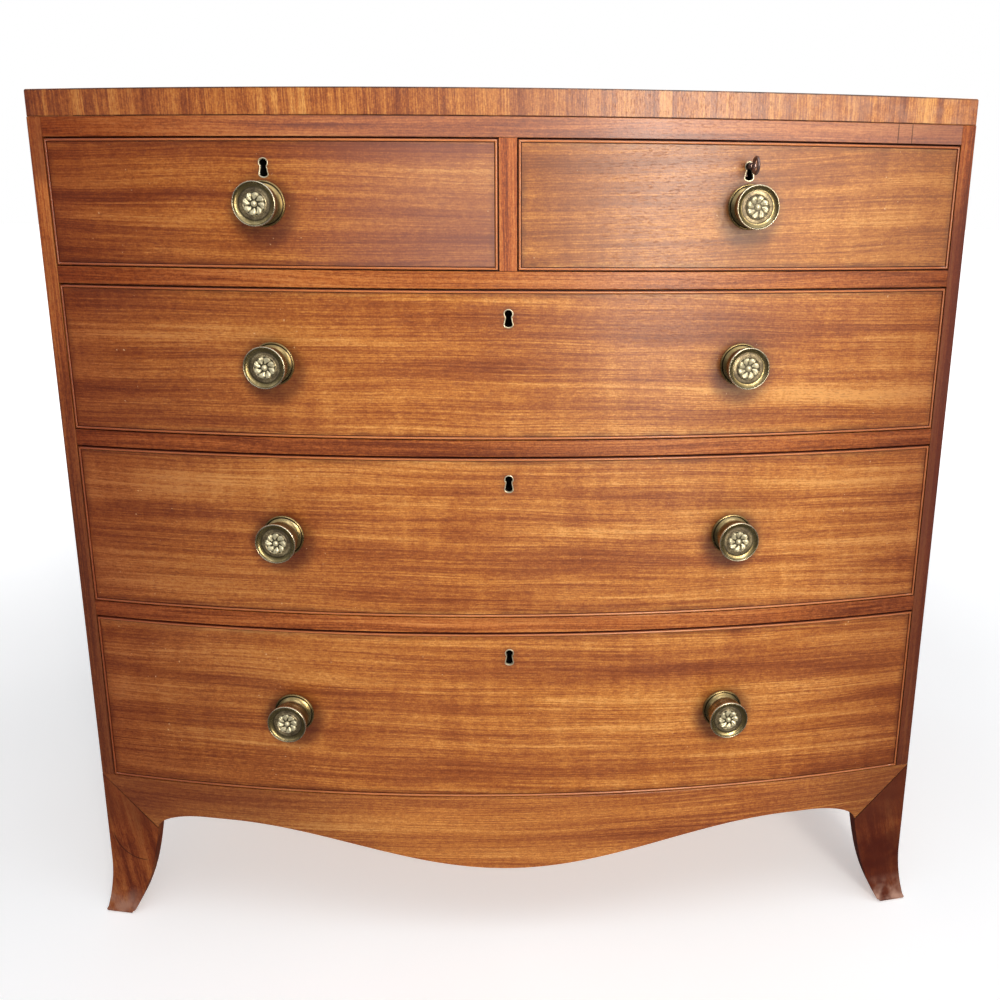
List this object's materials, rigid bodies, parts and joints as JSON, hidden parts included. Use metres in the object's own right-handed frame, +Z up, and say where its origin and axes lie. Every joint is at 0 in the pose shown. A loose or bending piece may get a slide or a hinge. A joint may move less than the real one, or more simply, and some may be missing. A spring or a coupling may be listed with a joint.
{
  "type": "bow front chest of drawers",
  "caption": "Bow front chest with short drawers over long graduated drawers, beaded fronts, turned brass knobs, a shaped apron and splayed bracket feet.",
  "frame": {"origin": "on the floor, under the middle of the outer box", "axes": "+X to the right as seen from the front, +Y towards the back, +Z up; drawers open towards -Y"},
  "size_m": [1.09, 0.5564, 1.0559],
  "materials": {
    "mahogany": "satin french polish over veneer",
    "bead": "satin polish",
    "carcase_pine": "bare, aged",
    "drawer_lining": "bare, aged oak",
    "brass": "aged, semi-polished",
    "steel": "worn dark steel"
  },
  "bodies": {
    "root": {"top_board": "mahogany", "side_left": "mahogany", "side_right": "mahogany", "back_board": "carcase_pine", "bottom_board": "carcase_pine", "top_rail": "mahogany", "drawer_rail_1": "mahogany", "drawer_rail_2": "mahogany", "drawer_rail_3": "mahogany", "dustboard_1": "carcase_pine", "dustboard_2": "carcase_pine", "dustboard_3": "carcase_pine", "centre_divider": "mahogany", "apron": "mahogany", "foot_front_left": "mahogany", "foot_front_right": "mahogany", "foot_rear_left": "mahogany", "foot_rear_right": "mahogany"},
    "top_left_drawer": {"top_left_drawer_front": "mahogany", "top_left_drawer_bead": "bead", "top_left_drawer_side_left": "drawer_lining", "top_left_drawer_side_right": "drawer_lining", "top_left_drawer_bottom": "drawer_lining", "top_left_drawer_back": "drawer_lining", "top_left_knob": "brass"},
    "top_right_drawer": {"top_right_drawer_front": "mahogany", "top_right_drawer_bead": "bead", "top_right_drawer_side_left": "drawer_lining", "top_right_drawer_side_right": "drawer_lining", "top_right_drawer_bottom": "drawer_lining", "top_right_drawer_back": "drawer_lining", "top_right_knob": "brass", "top_right_keyhole_liner": "brass", "top_right_lock_case": "brass"},
    "upper_drawer": {"upper_drawer_front": "mahogany", "upper_drawer_bead": "bead", "upper_drawer_side_left": "drawer_lining", "upper_drawer_side_right": "drawer_lining", "upper_drawer_bottom": "drawer_lining", "upper_drawer_back": "drawer_lining", "upper_left_knob": "brass", "upper_right_knob": "brass"},
    "middle_drawer": {"middle_drawer_front": "mahogany", "middle_drawer_bead": "bead", "middle_drawer_side_left": "drawer_lining", "middle_drawer_side_right": "drawer_lining", "middle_drawer_bottom": "drawer_lining", "middle_drawer_back": "drawer_lining", "middle_left_knob": "brass", "middle_right_knob": "brass"},
    "lower_drawer": {"lower_drawer_front": "mahogany", "lower_drawer_bead": "bead", "lower_drawer_side_left": "drawer_lining", "lower_drawer_side_right": "drawer_lining", "lower_drawer_bottom": "drawer_lining", "lower_drawer_back": "drawer_lining", "lower_left_knob": "brass", "lower_right_knob": "brass"},
    "key": {"key": "steel"},
    "lock_bolt": {"top_right_lock_bolt": "steel"}
  },
  "joints": [
    {"name": "top_left_drawer_slide", "type": "slide", "parent": "root", "child": "top_left_drawer", "axis": [0, -1, 0], "range_m": [0, 0.3]},
    {"name": "top_right_drawer_slide", "type": "slide", "parent": "root", "child": "top_right_drawer", "axis": [0, -1, 0], "range_m": [0, 0.3]},
    {"name": "upper_drawer_slide", "type": "slide", "parent": "root", "child": "upper_drawer", "axis": [0, -1, 0], "range_m": [0, 0.3]},
    {"name": "middle_drawer_slide", "type": "slide", "parent": "root", "child": "middle_drawer", "axis": [0, -1, 0], "range_m": [0, 0.3]},
    {"name": "lower_drawer_slide", "type": "slide", "parent": "root", "child": "lower_drawer", "axis": [0, -1, 0], "range_m": [0, 0.3]},
    {"name": "key_turn", "type": "hinge", "parent": "top_right_drawer", "child": "key", "pos_m": [0.26496, -0.2372, 0.9779], "axis": [0, -1, 0], "range_deg": [0, 180]},
    {"name": "bolt_throw", "type": "slide", "parent": "top_right_drawer", "child": "lock_bolt", "axis": [0, 0, 1], "range_m": [0, 0.00701]}
  ],
  "couplings": [
    {"joint": "bolt_throw", "follows": "key_turn", "m_per_rad": 0.0022282}
  ]
}
